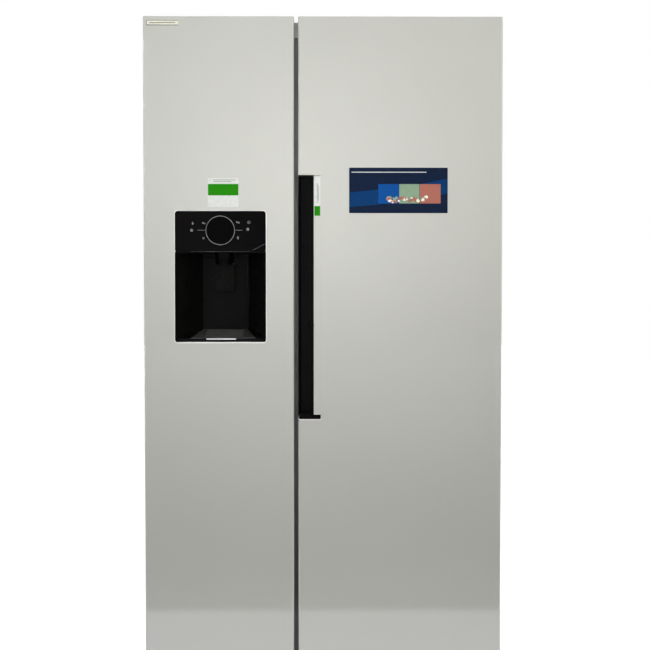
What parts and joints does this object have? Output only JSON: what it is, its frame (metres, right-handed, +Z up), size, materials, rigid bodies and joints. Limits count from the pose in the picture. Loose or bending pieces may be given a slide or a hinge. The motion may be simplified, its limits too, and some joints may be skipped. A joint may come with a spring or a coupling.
{
  "type": "side by side refrigerator",
  "caption": "Two-door refrigerator with a freezer beside a fridge, an ice and water dispenser in the freezer door and a recessed vertical grip on the fridge door.",
  "frame": {"origin": "on the floor under the middle of the refrigerator", "axes": "+Z up, doors face -Y, +X towards the fridge door's hinge"},
  "size_m": [0.91, 0.71, 1.77],
  "materials": {
    "door_silver": "satin",
    "cabinet_grey": "satin",
    "zinc_steel": "satin",
    "black_steel": "satin",
    "foam": "matte",
    "liner_white": "satin",
    "trim_grey": "satin",
    "dark_plastic": "satin",
    "black_gloss": "gloss",
    "clear_plastic": "gloss",
    "shelf_glass": "gloss",
    "gasket_rubber": "matte",
    "aluminium_fins": "satin",
    "copper_tube": "satin",
    "valve_brass": "satin",
    "roller_rubber": "matte",
    "label_paper": "satin",
    "promo_paper": "satin",
    "mark_silver": "satin",
    "light_lens": "satin"
  },
  "bodies": {
    "cabinet": {"cabinet_shell": "cabinet_grey", "cabinet_foam": "foam", "freezer_liner": "liner_white", "fridge_liner": "liner_white", "back_panel": "zinc_steel", "base_frame": "black_steel", "kick_plate": "dark_plastic", "machine_cover": "black_steel", "compressor": "black_steel", "condenser": "black_steel", "fan_shroud": "dark_plastic", "drain_pan": "dark_plastic", "refrigerant_tubes": "copper_tube", "power_inlet": "dark_plastic", "water_valve": "valve_brass", "hinges": "zinc_steel", "hinge_covers": "trim_grey", "evaporator": "aluminium_fins", "evaporator_cover": "liner_white", "ice_maker": "trim_grey", "ice_bucket": "clear_plastic", "shelf_glass": "shelf_glass", "shelf_trims": "liner_white", "interior_lights": "light_lens"},
    "freezer_door": {"freezer_door_skin": "door_silver", "freezer_door_foam": "foam", "freezer_door_liner": "liner_white", "freezer_door_gasket": "gasket_rubber", "freezer_door_trim": "trim_grey", "freezer_door_bins": "clear_plastic", "freezer_door_labels": "label_paper", "dispenser_housing": "black_gloss", "dispenser_bezel": "mark_silver", "dispenser_panel": "black_gloss", "dispenser_marks": "mark_silver", "dispenser_nozzle": "black_gloss", "ice_chute": "liner_white"},
    "fridge_door": {"fridge_door_skin": "door_silver", "fridge_door_foam": "foam", "fridge_door_liner": "liner_white", "fridge_door_gasket": "gasket_rubber", "fridge_door_trim": "trim_grey", "fridge_door_bins": "clear_plastic", "fridge_door_labels": "promo_paper", "handle_pocket": "black_gloss", "grip_lip": "door_silver"},
    "evaporator_fan": {"evaporator_fan": "dark_plastic"},
    "condenser_fan": {"condenser_fan": "dark_plastic"},
    "ice_auger": {"ice_auger": "mark_silver"},
    "crisper_upper": {"crisper_upper": "clear_plastic"},
    "crisper_lower": {"crisper_lower": "clear_plastic"},
    "freezer_drawer_upper": {"freezer_drawer_upper": "clear_plastic"},
    "freezer_drawer_lower": {"freezer_drawer_lower": "clear_plastic"},
    "foot_left": {"foot_left": "dark_plastic"},
    "foot_right": {"foot_right": "dark_plastic"},
    "rear_rollers": {"rear_rollers": "roller_rubber"},
    "dispenser_paddle": {"dispenser_paddle": "black_gloss"},
    "drip_tray": {"drip_tray": "black_gloss", "drip_grille": "dark_plastic"},
    "dairy_flap": {"dairy_flap": "clear_plastic"}
  },
  "joints": [
    {"name": "freezer_door_hinge", "type": "hinge", "parent": "cabinet", "child": "freezer_door", "pos_m": [-0.437, -0.304, 0.9], "axis": [0, 0, -1], "range_deg": [0, 115]},
    {"name": "fridge_door_hinge", "type": "hinge", "parent": "cabinet", "child": "fridge_door", "pos_m": [0.437, -0.304, 0.9], "axis": [0, 0, 1], "range_deg": [0, 115]},
    {"name": "paddle_hinge", "type": "hinge", "parent": "freezer_door", "child": "dispenser_paddle", "pos_m": [-0.254, -0.264, 1.148], "axis": [1, 0, 0], "range_deg": [0, 12], "stiffness_Nm_per_rad": 0.12},
    {"name": "drip_tray_slide", "type": "slide", "parent": "freezer_door", "child": "drip_tray", "axis": [0, -1, 0], "range_m": [0, 0.09]},
    {"name": "crisper_upper_slide", "type": "slide", "parent": "cabinet", "child": "crisper_upper", "axis": [0, -1, 0], "range_m": [0, 0.095]},
    {"name": "crisper_lower_slide", "type": "slide", "parent": "cabinet", "child": "crisper_lower", "axis": [0, -1, 0], "range_m": [0, 0.095]},
    {"name": "freezer_drawer_upper_slide", "type": "slide", "parent": "cabinet", "child": "freezer_drawer_upper", "axis": [0, -1, 0], "range_m": [0, 0.095]},
    {"name": "freezer_drawer_lower_slide", "type": "slide", "parent": "cabinet", "child": "freezer_drawer_lower", "axis": [0, -1, 0], "range_m": [0, 0.095]},
    {"name": "dairy_flap_hinge", "type": "hinge", "parent": "fridge_door", "child": "dairy_flap", "pos_m": [0.18, -0.184, 1.598], "axis": [1, 0, 0], "range_deg": [0, 85]},
    {"name": "evaporator_fan_spin", "type": "hinge", "parent": "cabinet", "child": "evaporator_fan", "pos_m": [-0.245, 0.232, 0.83], "axis": [0, 1, 0], "continuous": true},
    {"name": "condenser_fan_spin", "type": "hinge", "parent": "cabinet", "child": "condenser_fan", "pos_m": [-0.073, 0.25, 0.144], "axis": [1, 0, 0], "continuous": true},
    {"name": "ice_auger_spin", "type": "hinge", "parent": "cabinet", "child": "ice_auger", "pos_m": [-0.255, 0, 1.326], "axis": [0, 1, 0], "continuous": true},
    {"name": "rear_roller_spin", "type": "hinge", "parent": "cabinet", "child": "rear_rollers", "pos_m": [0, 0.29, 0.02], "axis": [1, 0, 0], "continuous": true},
    {"name": "foot_left_screw", "type": "hinge", "parent": "cabinet", "child": "foot_left", "pos_m": [-0.396, -0.242, 0.03], "axis": [0, 0, 1], "continuous": true},
    {"name": "foot_right_screw", "type": "hinge", "parent": "cabinet", "child": "foot_right", "pos_m": [0.396, -0.242, 0.03], "axis": [0, 0, 1], "continuous": true}
  ]
}
